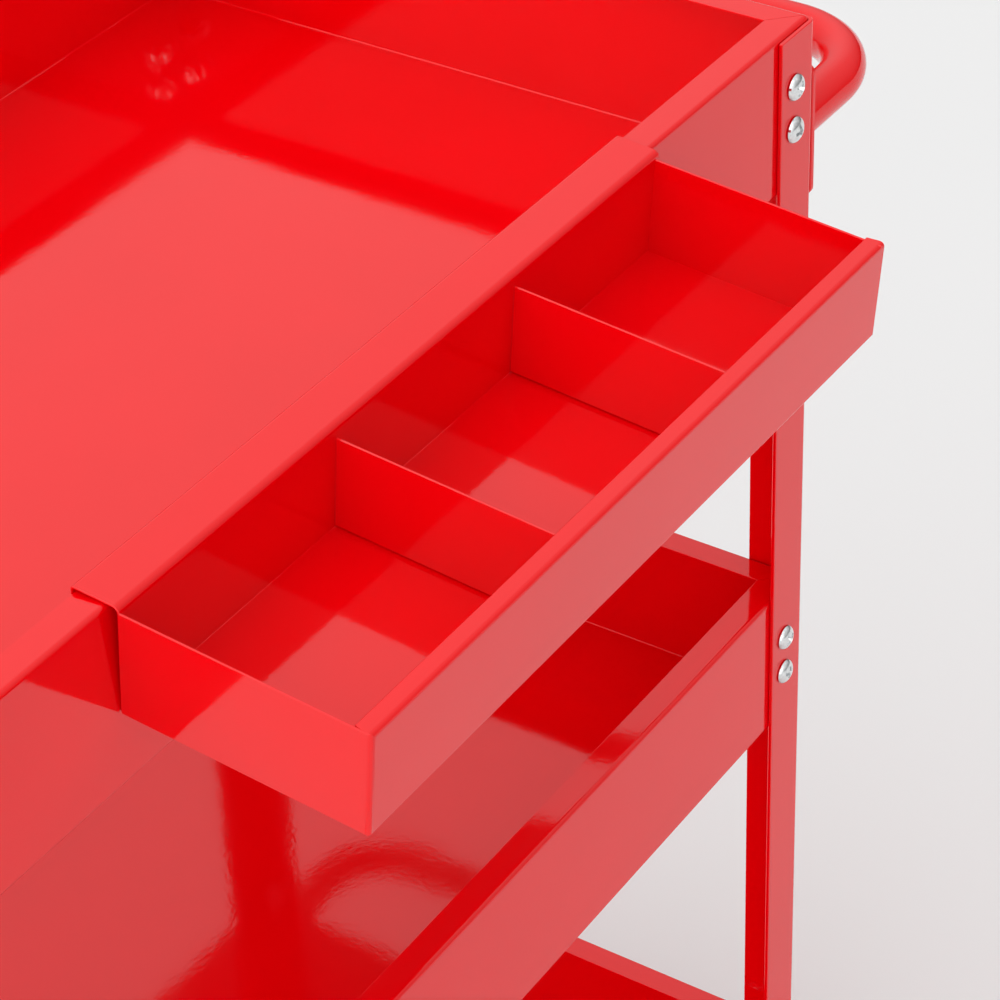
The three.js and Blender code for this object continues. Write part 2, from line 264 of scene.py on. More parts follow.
def inset(outline, depth):
    """An outline that runs counter-clockwise, moved inwards."""
    count = len(outline)
    moved = []
    for i, point in enumerate(outline):
        before = (point - outline[i - 1]).normalized()
        after = (outline[(i + 1) % count] - point).normalized()
        mean = before + after
        inward = Vector((-mean.y, mean.x)).normalized()
        share = max(0.5, inward.dot(Vector((-before.y, before.x))))
        moved.append(point + inward * depth / share)
    return moved


def counter_clockwise(outline):
    outline = [Vector(p) for p in outline]
    area = sum(a.x * b.y - b.x * a.y for a, b in zip(outline, outline[1:] + outline[:1]))
    return outline if area > 0 else outline[::-1]


# ---- solids ----
def object_of(name, bm):
    bmesh.ops.recalc_face_normals(bm, faces=bm.faces[:])
    mesh = bpy.data.meshes.new(name)
    bm.to_mesh(mesh)
    bm.free()
    made = bpy.data.objects.new(name, mesh)
    bpy.context.scene.collection.objects.link(made)
    return made


def skin(bm, rings, closed=False):
    """Quads between rings of equal length, with flat ends unless the rings close on themselves."""
    rows = [[bm.verts.new(p) for p in ring] for ring in rings]
    pairs = list(zip(rows, rows[1:] + rows[:1] if closed else rows[1:]))
    for low, high in pairs:
        for i in range(len(low)):
            j = (i + 1) % len(low)
            bm.faces.new((low[i], low[j], high[j], high[i]))
    if not closed:
        bm.faces.new(rows[0][::-1])
        bm.faces.new(rows[-1])
    bmesh.ops.remove_doubles(bm, verts=[v for row in rows for v in row], dist=1e-7)


def prism(bm, outline, low, high, place=None, edge=EDGE):
    """An outline pushed from one height to another, its end edges eased, then put in place."""
    place = place or Matrix.Identity(4)
    outline = counter_clockwise(outline)
    eased = inset(outline, edge)
    levels = [(eased, low), (outline, low + edge), (outline, high - edge), (eased, high)]
    skin(bm, [[place @ Vector((*p, level)) for p in ring] for ring, level in levels])


def lathe(bm, profile, segments, place=None, closed=False):
    """A profile of radius and height turned round the local Z axis."""
    place = place or Matrix.Identity(4)
    turns = [2 * math.pi * i / segments for i in range(segments)]
    rings = [[place @ Vector((r * math.cos(a), r * math.sin(a), z)) for a in turns] for r, z in profile]
    skin(bm, rings, closed)


def box_prism(bm, low, high, place=None, edge=0.0):
    corners = [(low[0], low[1]), (high[0], low[1]), (high[0], high[1]), (low[0], high[1])]
    prism(bm, corners, low[2], high[2], place, edge)


def combine(piece, tool, operation):
    """Joins, cuts or trims a piece with a tool, which is used up."""
    change = piece.modifiers.new("combine", "BOOLEAN")
    change.operation = operation
    change.object = tool
    change.solver = "MANIFOLD"
    graph = bpy.context.evaluated_depsgraph_get()
    mesh = bpy.data.meshes.new_from_object(piece.evaluated_get(graph))
    piece.modifiers.clear()
    mesh.name = piece.name
    old, piece.data = piece.data, mesh
    bpy.data.meshes.remove(old)
    bpy.data.objects.remove(tool)
    return piece


def tool_of(build, *args):
    """A scratch object made by one of the builders above."""
    bm = bmesh.new()
    build(bm, *args)
    return object_of("tool", bm)


def dress(piece, body, slot, *stands_for, sharp=35):
    """Shading, body and the slot's material of a finished piece, with the frame parts it stands for hidden.
    """
    piece.data.shade_smooth()
    piece.data.set_sharp_from_angle(angle=math.radians(sharp))
    weigh = piece.modifiers.new("flat_faces", "WEIGHTED_NORMAL")
    weigh.keep_sharp = True
    weigh.weight = 100
    piece.data.materials.clear()
    piece.data.materials.append(MATERIALS[slot])
    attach(piece, body)
    if stands_for:
        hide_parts(*stands_for)
    return piece


# ---- materials ----
def new_material(name, **sockets):
    made = bpy.data.materials.new(name)
    made.use_nodes = True
    shader = made.node_tree.nodes["Principled BSDF"]
    for socket, value in sockets.items():
        shader.inputs[socket.replace("_", " ")].default_value = value
    return made, made.node_tree, shader


def noise(tree, scale, detail=2.0, stretch=(1, 1, 1)):
    """Noise over the piece itself, in lumps of 1 / scale metres."""
    coordinates = tree.nodes.new("ShaderNodeTexCoord")
    mapping = tree.nodes.new("ShaderNodeMapping")
    mapping.inputs["Scale"].default_value = stretch
    texture = tree.nodes.new("ShaderNodeTexNoise")
    texture.inputs["Scale"].default_value = scale
    texture.inputs["Detail"].default_value = detail
    tree.links.new(coordinates.outputs["Object"], mapping.inputs["Vector"])
    tree.links.new(mapping.outputs["Vector"], texture.inputs["Vector"])
    return texture.outputs["Fac"]


def ramp(tree, source, stops):
    """Colours laid over a grey value: stops are (place, colour)."""
    node = tree.nodes.new("ShaderNodeValToRGB")
    elements = node.color_ramp.elements
    for element, (place, colour) in zip(elements, (stops[0], stops[-1])):
        element.position, element.color = place, colour
    for place, colour in stops[1:-1]:
        elements.new(place).color = colour
    tree.links.new(source, node.inputs["Fac"])
    return node.outputs["Color"]


def spread(tree, source, low, high):
    """A grey value moved to a range."""
    node = tree.nodes.new("ShaderNodeMapRange")
    node.inputs["From Min"].default_value = 0.3
    node.inputs["From Max"].default_value = 0.7
    node.inputs["To Min"].default_value = low
    node.inputs["To Max"].default_value = high
    tree.links.new(source, node.inputs["Value"])
    return node.outputs["Result"]


def bump(tree, height, distance, under=None):
    """A bump of a real height in metres, on top of another one if given."""
    node = tree.nodes.new("ShaderNodeBump")
    node.inputs["Strength"].default_value = 1.0
    node.inputs["Distance"].default_value = distance
    tree.links.new(height, node.inputs["Height"])
    if under:
        tree.links.new(under, node.inputs["Normal"])
    return node.outputs["Normal"]


def powder_coat():
    """Glossy red powder coat: clean colour, a slow wave in the sheet and fine orange peel."""
    made, tree, shader = new_material("red_powder_coat", IOR=1.5)
    links = tree.links
    tone = ramp(tree, noise(tree, 9, 3), [(0.3, (0.80, 0.0, 0.002, 1)), (0.7, (0.84, 0.0, 0.003, 1))])
    links.new(tone, shader.inputs["Base Color"])
    links.new(spread(tree, noise(tree, 14, 4), 0.05, 0.08), shader.inputs["Roughness"])
    wave = bump(tree, noise(tree, 40, 1), 0.05 * MM)
    peel = bump(tree, noise(tree, 420, 2), 0.018 * MM, wave)
    links.new(peel, shader.inputs["Normal"])
    return made


def zinc_plate():
    """Bright zinc on turned steel, faintly mottled."""
    made, tree, shader = new_material("zinc_plate", Metallic=1.0)
    links = tree.links
    tone = ramp(tree, noise(tree, 900, 4), [(0.3, (0.66, 0.68, 0.69, 1)), (0.7, (0.86, 0.87, 0.87, 1))])
    links.new(tone, shader.inputs["Base Color"])
    links.new(spread(tree, noise(tree, 1500, 3), 0.1, 0.22), shader.inputs["Roughness"])
    links.new(bump(tree, noise(tree, 2600, 3), 0.006 * MM), shader.inputs["Normal"])
    return made


def pressed_steel():
    """Zinc-plated pressed steel of the castors, cloudy and slightly brushed."""
    made, tree, shader = new_material("pressed_steel", Metallic=1.0)
    links = tree.links
    tone = ramp(tree, noise(tree, 120, 6), [(0.3, (0.46, 0.48, 0.5, 1)), (0.7, (0.64, 0.66, 0.67, 1))])
    links.new(tone, shader.inputs["Base Color"])
    links.new(spread(tree, noise(tree, 260, 5), 0.24, 0.44), shader.inputs["Roughness"])
    brushed = noise(tree, 700, 3, (1, 1, 0.12))
    links.new(bump(tree, brushed, 0.01 * MM), shader.inputs["Normal"])
    return made


def moulded_plastic(name, dark, light, roughness):
    made, tree, shader = new_material(name, IOR=1.46)
    links = tree.links
    links.new(ramp(tree, noise(tree, 60, 5), [(0.3, dark), (0.7, light)]), shader.inputs["Base Color"])
    links.new(spread(tree, noise(tree, 320, 3), *roughness), shader.inputs["Roughness"])
    links.new(bump(tree, noise(tree, 1400, 4), 0.02 * MM), shader.inputs["Normal"])
    return made


def tyre_rubber():
    """Dark rubber with a trace of dust in its grain."""
    made, tree, shader = new_material("tyre_rubber", IOR=1.5)
    links = tree.links
    stops = [
        (0.35, (0.012, 0.012, 0.013, 1)),
        (0.6, (0.022, 0.022, 0.022, 1)),
        (0.75, (0.06, 0.056, 0.05, 1)),
    ]
    links.new(ramp(tree, noise(tree, 180, 6), stops), shader.inputs["Base Color"])
    links.new(spread(tree, noise(tree, 240, 4), 0.5, 0.75), shader.inputs["Roughness"])
    links.new(bump(tree, noise(tree, 1800, 5), 0.03 * MM), shader.inputs["Normal"])
    return made


def floor_paint():
    made, tree, shader = new_material("pale_floor")
    tone = ramp(tree, noise(tree, 0.6, 2), [(0.3, (0.75, 0.75, 0.75, 1)), (0.7, (0.77, 0.77, 0.77, 1))])
    tree.links.new(tone, shader.inputs["Base Color"])
    tree.links.new(spread(tree, noise(tree, 3, 2), 0.7, 0.8), shader.inputs["Roughness"])
    return made


MATERIALS = {
    "red_paint": powder_coat(),
    "zinc_screws": zinc_plate(),
    "castor_steel": pressed_steel(),
    "wheel_plastic": moulded_plastic(
        "grey_nylon", (0.13, 0.14, 0.15, 1), (0.17, 0.18, 0.19, 1), (0.38, 0.52)
    ),
    "tyre_rubber": tyre_rubber(),
    "pedal_plastic": moulded_plastic(
        "red_nylon", (0.4, 0.004, 0.008, 1), (0.5, 0.006, 0.01, 1), (0.3, 0.45)
    ),
}


# ---- trays ----
def tray_rings(low, high):
    """Rings round a tray, from under its floor, over the rim and down to the top of the floor."""
    t, bend = TRAY_SHEET, TRAY_BEND
    height = high.z - low.z
    inner = bend - t
    profile = []
    profile += arc((bend, bend), bend, 270, 180)
    profile += arc((bend, height - bend), bend, 180, 90)
    profile += arc((TRAY_RIM - EDGE, height - EDGE), EDGE, 90, 0, 2)
    profile += arc((TRAY_RIM - EDGE, height - t + EDGE), EDGE, 0, -90, 2)
    profile += arc((bend, height - bend), inner, 90, 180)
    profile += arc((bend, bend), inner, 180, 270)
    rings = []
    for depth, level in profile:
        near = (low.x + depth, low.y + depth)
        far = (high.x - depth, high.y - depth)
        corner = max(TRAY_CORNER - depth, 0.4 * MM)
        rings.append([Vector((*p, low.z + level)) for p in rounded_rectangle(near, far, corner)])
    return rings


def rim_seams(bm, low, high):
    """Thin blades along the mitres of the rim's four corners."""
    reach, blade = TRAY_RIM * math.sqrt(2), 0.12 * MM
    for x, y, angle in (
        (low.x, low.y, 45),
        (high.x, low.y, 135),
        (high.x, high.y, 225),
        (low.x, high.y, 315),
    ):
        place = Matrix.Translation((x, y, high.z)) @ Matrix.Rotation(math.radians(angle), 4, "Z")
        box_prism(bm, (2 * MM, -blade, -0.5 * MM), (reach + MM, blade, MM), place)


def tray(node):
    low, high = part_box(node)
    bm = bmesh.new()
    skin(bm, tray_rings(low, high))
    piece = object_of(f"{node}_pressing", bm)
    combine(piece, tool_of(rim_seams, low, high), "DIFFERENCE")
    dress(piece, "trolley", "red_paint", node)


# ---- legs ----
def leg(node):
    low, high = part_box(node)
    centre = (cad_box[0] + cad_box[1]) / 2
    middle = (low + high) / 2
    side = 1 if middle.x > centre.x else -1
    end = 1 if "_back_" in node else -1
    corner = Vector((high.x if side > 0 else low.x, high.y if end > 0 else low.y))
    half = LEG_SHEET / 2
    path = folded([(LEG_FLANGE, half), (half, half), (half, LEG_FLANGE)], LEG_BEND)
    outline = [(corner.x - side * u, corner.y - end * v) for u, v in sheet_outline(path, LEG_SHEET)]
    bm = bmesh.new()
    prism(bm, outline, low.z, high.z)
    piece = object_of(f"{node}_angle", bm)
    dress(piece, "trolley", "red_paint", node)


# ---- hook-on parts tray ----
def hook_frame():
    """Its own frame: back wall's rear face at y 0, top of the hook at z 0, left end at x 0."""
    tall, long = HOOK_HEIGHT, HOOK_DEPTH + HOOK_WIDTH - HOOK_SHEET
    lean = math.asin((hook_high.z - hook_low.z) / math.hypot(tall, long)) - math.atan2(tall, long)
    rear = hook_low.y + HOOK_DEPTH * math.cos(lean) - HOOK_WALL_DROP * math.sin(lean)
    top = hook_high.z - (HOOK_WIDTH - HOOK_SHEET) * math.sin(lean)
    return Matrix.Translation((hook_low.x, rear, top)) @ Matrix.Rotation(lean, 4, "X")


# Turns an outline in Y and Z that is pushed along X.
ALONG_X = Matrix(((0, 0, 1, 0), (1, 0, 0, 0), (0, 1, 0, 0), (0, 0, 0, 1)))
# Turns an outline in X and Z that is pushed along Y.
ALONG_Y = Matrix(((1, 0, 0, 0), (0, 0, 1, 0), (0, 1, 0, 0), (0, 0, 0, 1)))


def hook_tray():
    place = hook_frame()
    half = HOOK_SHEET / 2
    length = hook_high.x - hook_low.x
    right = length - HOOK_OVERHANG
    reach, low, front = HOOK_WIDTH - HOOK_SHEET - half, half - HOOK_HEIGHT, half - HOOK_DEPTH
    lip_top = -HOOK_WALL_DROP - half
    path = [
        (reach, -HOOK_LIP),
        (reach, -half),
        (-half, -half),
        (-half, low),
        (front, low),
        (front, lip_top),
        (front + HOOK_FRONT_LIP - half, lip_top),
    ]
    bm = bmesh.new()
    prism(bm, sheet_outline(folded(path, HOOK_FOLDS), HOOK_SHEET), 0, length, place @ ALONG_X)
    piece = object_of("hook_tray_folded_sheet", bm)

    cuts = bmesh.new()
    past = HOOK_SHEET + EDGE
    overhang_low = (right, past - HOOK_DEPTH, -HOOK_HEIGHT - MM)
    overhang_high = (length + MM, -past, past - HOOK_HEIGHT)
    box_prism(cuts, overhang_low, overhang_high, place)
    for end, side in ((0, 1), (length, -1)):
        lip_mitre(cuts, end, side, place)
    combine(piece, object_of("tool", cuts), "DIFFERENCE")

    walls = bmesh.new()
    bend = HOOK_FOLDS[2] + half
    for start in (0, right - HOOK_SHEET):
        side = rounded_rectangle((-HOOK_DEPTH, -HOOK_HEIGHT), (0, bend - HOOK_WALL_DROP), bend)
        side = [p for p in side if p.y < -HOOK_WALL_DROP - bend]
        side = [Vector((0, -HOOK_WALL_DROP)), Vector((-HOOK_DEPTH, -HOOK_WALL_DROP))] + side
        prism(walls, side, start, start + HOOK_SHEET, place @ ALONG_X)
    combine(piece, object_of("tool", walls), "UNION")
    combine(piece, tool_of(corner_tool, place), "DIFFERENCE")
    dress(piece, "parts_tray", "red_paint", "hook_tray")


def lip_mitre(bm, end, side, place):
    """A wedge off one end of the front lip, so that it narrows towards its inner edge."""
    width, slant = HOOK_FRONT_LIP, 1.5 * MM
    corner = (end, HOOK_SHEET - HOOK_DEPTH)
    outline = [corner, (end + side * slant, corner[1] + width), (end - side * MM, corner[1] + width)]
    prism(bm, outline + [(end - side * MM, corner[1])], -HOOK_WALL_DROP - 2 * MM, MM, place, 0)


def corner_tool(bm, place):
    """What rounds the upright corner between the left end wall and the front wall."""
    radius = HOOK_CORNER
    round_side = [p + Vector((0, -HOOK_DEPTH)) for p in arc((radius, radius), radius, 180, 270)]
    outline = round_side + [(radius, -HOOK_DEPTH - MM), (-MM, -HOOK_DEPTH - MM), (-MM, radius - HOOK_DEPTH)]
    prism(bm, outline, -HOOK_HEIGHT - MM, MM, place, 0)


def divider(node):
    low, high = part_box(node)
    place = hook_frame()
    half = HOOK_SHEET / 2
    start, foot = low.x - hook_low.x, high.x - hook_low.x
    bottom = HOOK_SHEET + FIT_GAP + half - HOOK_HEIGHT
    path = folded([(foot, bottom), (start + half, bottom), (start + half, -DIVIDER_DROP)], DIVIDER_FOLD)
    span = (HOOK_SHEET + FIT_GAP - HOOK_DEPTH, -HOOK_SHEET - FIT_GAP)
    bm = bmesh.new()
    prism(bm, sheet_outline(path, HOOK_SHEET), *span, place @ ALONG_Y)
    piece = object_of(f"{node}_sheet", bm)
    dress(piece, "parts_tray", "red_paint", node)


# ---- screws, nuts and washers ----
def thread(radius, low, high, pitch=MM):
    """Profile points down a threaded shank, from its high end to its low end."""
    turns = int((high - low) / pitch)
    points = []
    for i in range(turns):
        level = high - (high - low) * i / turns
        points += [(radius - 0.35 * pitch, level), (radius, level - pitch / 2)]
    return points + [(radius - 0.35 * pitch, low)]


def cross_tool(bm, top):
    """A tapered cross, the shape of a driver's tip."""
    arm, web = 3.6 * MM, 0.85 * MM
    quarter = [(arm, -web), (arm, web), (web, web)]
    outline = [Matrix.Rotation(k * math.pi / 2, 2) @ Vector(p) for k in range(4) for p in quarter]
    levels = [(1.1, top + MM), (1.0, top - 0.5 * MM), (0.66, top - 2.6 * MM), (0.3, top - 3.1 * MM)]
    skin(bm, [[Vector((*(p * share), level)) for p in outline] for share, level in levels])


def screw_mesh(name, reach):
    """A mushroom-headed cross-recess screw: head upwards, its underside at the origin."""
    radius, height = SCREW_HEAD
    angles = [math.radians(degrees) for degrees in range(0, 85, 7)]
    dome = [(radius * math.sin(a), height * math.cos(a)) for a in angles]
    rim = [(radius, 0.32 * MM), (radius - 0.12 * MM, 0.08 * MM), (radius - 0.4 * MM, 0)]
    shank = [(SCREW_RADIUS, 0)] + thread(SCREW_RADIUS, -reach, -1.5 * MM) + [(0, -reach - 0.3 * MM)]
    bm = bmesh.new()
    lathe(bm, dome + rim + shank, 32)
    made = object_of(name, bm)
    combine(made, tool_of(cross_tool, height), "DIFFERENCE")
    mesh = made.data
    bpy.data.objects.remove(made)
    return mesh


def hex_radius(angle, across):
    corner = math.radians(60)
    return across / 2 / math.cos((angle + corner / 2) % corner - corner / 2)


def hex_body(bm, across, low, high, bore, bottom_chamfer=True, place=None):
    """A hexagon with its corners turned off, bored through or closed."""
    place = place or Matrix.Identity(4)
    count = 48
    angles = [2 * math.pi * i / count for i in range(count)]
    fall = [(hex_radius(a, across) - across / 2) * math.tan(math.radians(30)) for a in angles]

    def ring(radius_of, level_of):
        points = []
        for a, f in zip(angles, fall):
            out = radius_of(a)
            points.append(place @ Vector((out * math.cos(a), out * math.sin(a), level_of(f))))
        return points

    flat = 0.47 * across
    chamfer = 0.15 * MM

    def lower_level(f):
        return low + (f + chamfer if bottom_chamfer else 0)

    rings = [ring(lambda a: flat, lambda f: low)]
    rings.append(ring(lambda a: hex_radius(a, across), lower_level))
    rings.append(ring(lambda a: hex_radius(a, across), lambda f: high - f - chamfer))
    rings.append(ring(lambda a: flat, lambda f: high))
    if bore:
        ease = 0.5 * MM
        rings.append(ring(lambda a: bore + ease, lambda f: high))
        rings.append(ring(lambda a: bore, lambda f: high - ease))
        rings.append(ring(lambda a: bore, lambda f: low + ease))
        rings.append(ring(lambda a: bore + ease, lambda f: low))
    skin(bm, rings, closed=bool(bore))


def washer_profile(radius, sheet, bore, low=0.0):
    ease = 0.2 * MM
    return [
        (bore, low),
        (radius - ease, low),
        (radius, low + ease),
        (radius, low + sheet - ease),
        (radius - ease, low + sheet),
        (bore, low + sheet),
    ]


def nut_mesh():
    """A nut on its washer, standing on the origin and pointing up."""
    bm = bmesh.new()
    bore = SCREW_RADIUS - 0.1 * MM
    lathe(bm, washer_profile(*WASHER, bore), 32, closed=True)
    hex_body(bm, NUT_ACROSS, WASHER[1], WASHER[1] + NUT_HEIGHT, bore)
    made = object_of("nut_and_washer", bm)
    mesh = made.data
    bpy.data.objects.remove(made)
    return mesh


def put(name, mesh, place, body, slot, *stands_for, sharp=35):
    """One more copy of a mesh that repeats."""
    made = bpy.data.objects.new(name, mesh)
    made.matrix_world = place
    bpy.context.scene.collection.objects.link(made)
    return dress(made, body, slot, *stands_for, sharp=sharp)


def facing(point, way):
    """A place at a point with local Z along a direction."""
    return Matrix.Translation(point) @ Vector(way).to_track_quat("Z", "Y").to_matrix().to_4x4()


def screws():
    """Every screw in the frame, with its nut and washer behind the sheets it holds."""
    leg_grip = 2 * FIT_GAP + LEG_SHEET + TRAY_SHEET
    lower_foot_grip = FIT_GAP + FOOT[2] + LEG_SHEET
    names = sorted(n for n in frame["nodes"] if "_screw_" in n)
    meshes = {}
    for index, node in enumerate(names):
        low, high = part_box(node)
        middle = (low + high) / 2
        if node.startswith("handle"):
            way, head = Vector((1, 0, 0)), Vector((high.x - SCREW_HEAD[1], middle.y, middle.z))
            reach = high.x - low.x - SCREW_HEAD[1]
            below_tray = middle.z < upper_low.z
            grip = lower_foot_grip if below_tray else leg_grip + FIT_GAP + FOOT[2]
        else:
            front = "_front_" in node
            way = Vector((0, -1 if front else 1, 0))
            face = low.y + SCREW_HEAD[1] if front else high.y - SCREW_HEAD[1]
            head = Vector((middle.x, face, middle.z))
            reach, grip = high.y - low.y - SCREW_HEAD[1], leg_grip
        key = round(reach / MM)
        if key not in meshes:
            meshes[key] = screw_mesh(f"screw_{key}", reach)
        spin = Matrix.Rotation(math.radians(37 * index % 90), 4, "Z")
        put(f"{node}_cross_head", meshes[key], facing(head, way) @ spin, "trolley", "zinc_screws", node)
        behind = facing(head - way * grip, -way) @ spin
        put(f"{node}_nut", NUT, behind, "trolley", "zinc_screws")


# ---- push handle ----
def tube(bm, path, radius, segments=32):
    """A round bar along a level path, in rings square to it."""
    rings = []
    for i, point in enumerate(path):
        before, after = path[max(i - 1, 0)], path[min(i + 1, len(path) - 1)]
        way = (after - before).normalized()
        side = Vector((way.y, -way.x, 0))
        ring = []
        for k in range(segments):
            angle = 2 * math.pi * k / segments
            ring.append(point + side * radius * math.cos(angle) + Vector((0, 0, radius * math.sin(angle))))
        rings.append(ring)
    skin(bm, rings)


def weld_bead(bm, place, radius):
    """A rippled fillet weld round a tube, on the local Z axis."""
    count, section = 96, 8
    rings = []
    for i in range(count):
        angle = 2 * math.pi * i / count
        size = (2.0 + 0.28 * math.sin(22 * angle) + 0.12 * math.sin(5 * angle + 1)) * MM
        ring = []
        for k in range(section):
            turn = 2 * math.pi * k / section
            out = radius + size * math.cos(turn)
            level = 0.8 * size * math.sin(turn)
            ring.append(place @ Vector((out * math.cos(angle), out * math.sin(angle), level)))
        rings.append(ring)
    skin(bm, rings, closed=True)


def push_handle():
    low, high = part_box("push_handle")
    axis = (low.z + high.z) / 2
    far = high.x - TUBE_RADIUS
    near, away = low.y + FOOT[0] / 2, high.y - FOOT[0] / 2
    corners = [(low.x + FOOT[2] / 2, near), (far, near), (far, away), (low.x + FOOT[2] / 2, away)]
    path = [Vector((*p, axis)) for p in folded(corners, TUBE_BEND, 20)]
    bm = bmesh.new()
    tube(bm, path, TUBE_RADIUS)
    for y in (near, away):
        plate = rounded_rectangle((y - FOOT[0] / 2, low.z), (y + FOOT[0] / 2, high.z), 5 * MM)
        prism(bm, plate, low.x, low.x + FOOT[2], ALONG_X, 0.5 * MM)
        weld_bead(bm, facing(Vector((low.x + FOOT[2], y, axis)), (1, 0, 0)), TUBE_RADIUS)
    piece = object_of("push_handle_tube", bm)
    dress(piece, "trolley", "red_paint", "push_handle")


# ---- castors: each in a frame with its plate's centre over the origin, on the floor ----
def body_of_node(node):
    bodies = frame["record"]["behaviour"]["bodies"]
    return next(body for body, members in bodies.items() if node in members)


def hull_outline(discs, points):
    """The tightest outline round some discs (x, z, radius) and points."""
    cloud = [Vector(p) for p in points]
    for x, z, radius in discs:
        cloud += arc((x, z), radius, 0, 345, 23)
    return [cloud[i] for i in convex_hull_2d(cloud)]


def cheek_bracket(name, top, low, outline, place):
    """A sheet folded into an upturned U across Y, trimmed to an outline in X and Z."""
    half = (CHEEK_OUTSIDE - CHEEK_INSIDE) / 2
    out = CHEEK_OUTSIDE - half
    path = folded([(-out, low), (-out, top - half), (out, top - half), (out, low)], 3 * MM)
    bm = bmesh.new()
    prism(bm, sheet_outline(path, 2 * half), -0.1, 0.15, place @ ALONG_X)
    piece = object_of(name, bm)
    span = (-2 * CHEEK_OUTSIDE, 2 * CHEEK_OUTSIDE)
    combine(piece, tool_of(prism, outline, *span, place @ ALONG_Y), "INTERSECT")
    ease_edges(piece, 0.4 * MM)
    return piece


def ease_edges(piece, width):
    bevel = piece.modifiers.new("eased_edges", "BEVEL")
    bevel.width = width
    bevel.segments = 2
    bevel.limit_method = "ANGLE"
    bevel.angle_limit = math.radians(50)


def mounting_plate(bm, top, place):
    outline = rounded_rectangle((-37.5 * MM, -31 * MM), (37.5 * MM, 31 * MM), 7 * MM)
    prism(bm, outline, top - PLATE_SHEET, top, place, 0.5 * MM)


def fixed_bracket(name, top, place):
    axle = (0, WHEEL_RADIUS, 13 * MM)
    shoulder = 28.5 * MM
    under = top - PLATE_SHEET + 0.2 * MM
    outline = hull_outline([axle], [(-shoulder, under), (shoulder, under)])
    node = f"{name}_bracket"
    body = body_of_node(node)
    dress(cheek_bracket(f"{node}_fork", under, 0, outline, place), body, "castor_steel", node)
    bm = bmesh.new()
    mounting_plate(bm, top, place)
    dress(object_of(f"{node}_plate", bm), body, "castor_steel")


def ball_race(name, top, place):
    """Upper cup on the plate, lower cup and balls on the fork, kingpin through both."""
    under = top - PLATE_SHEET
    crown = under - RACE_HEIGHT - FIT_GAP
    rim, step = RACE_RADIUS, MM
    bm = bmesh.new()
    mounting_plate(bm, top, place)
    cup = [
        (0, under + step),
        (rim, under + step),
        (rim, under - 2 * step),
        (rim - 2 * step, under - 4 * step),
        (0, under - 4 * step),
    ]
    lathe(bm, cup, 48, place)
    plate = object_of(f"{name}_top_plate", bm)
    node = f"{name}_plate"
    dress(plate, body_of_node(node), "castor_steel", node)

    bm = bmesh.new()
    pin_low = crown - PLATE_SHEET - FIT_GAP - 5 * MM
    hex_body(bm, 17 * MM, pin_low, pin_low + 5 * MM, 0, True, place)
    lathe(bm, washer_profile(11 * MM, 0.25 * MM, 0.5 * MM, pin_low + 5 * MM), 32, place, closed=True)
    lathe(bm, [(0, under), (6 * MM, under), (6 * MM, pin_low + MM), (0, pin_low + MM)], 24, place)
    tail = 4 * MM
    end = [(0, pin_low + MM), (tail, pin_low + MM), (tail, pin_low - MM), (0, pin_low - 1.6 * MM)]
    lathe(bm, end, 24, place)
    dress(object_of(f"{name}_kingpin", bm), body_of_node(node), "zinc_screws")

    bm = bmesh.new()
    cup = [
        (0, crown + 0.1 * MM),
        (rim - 2 * step, crown + 0.1 * MM),
        (rim - 0.4 * step, crown + step),
        (rim - 1.2 * step, crown + 3 * step),
        (rim - 3 * step, crown + 3.2 * step),
        (0, crown + 3.2 * step),
    ]
    lathe(bm, cup, 48, place)
    balls, ring = 26, rim - 4 * step
    for i in range(balls):
        angle = 2 * math.pi * i / balls
        spot = Matrix.Translation((ring * math.cos(angle), ring * math.sin(angle), crown + 4.2 * step))
        bmesh.ops.create_icosphere(bm, subdivisions=2, radius=1.9 * MM, matrix=place @ spot)
    fork = f"{name}_fork"
    dress(object_of(f"{name}_lower_race", bm), body_of_node(fork), "castor_steel")
    return crown


def swivel_fork(name, crown, place):
    node = f"{name}_fork"
    axle = (SWIVEL_TRAIL, WHEEL_RADIUS, 13 * MM)
    pivot = (*BRAKE_PIVOT, 8 * MM)
    crown_ends = [(2 * MM - RACE_RADIUS, crown), (RACE_RADIUS + 3 * MM, crown)]
    outline = hull_outline([axle, pivot], crown_ends)
    pressing = cheek_bracket(f"{node}_pressing", crown, 0, outline, place)
    dress(pressing, body_of_node(node), "castor_steel", node)


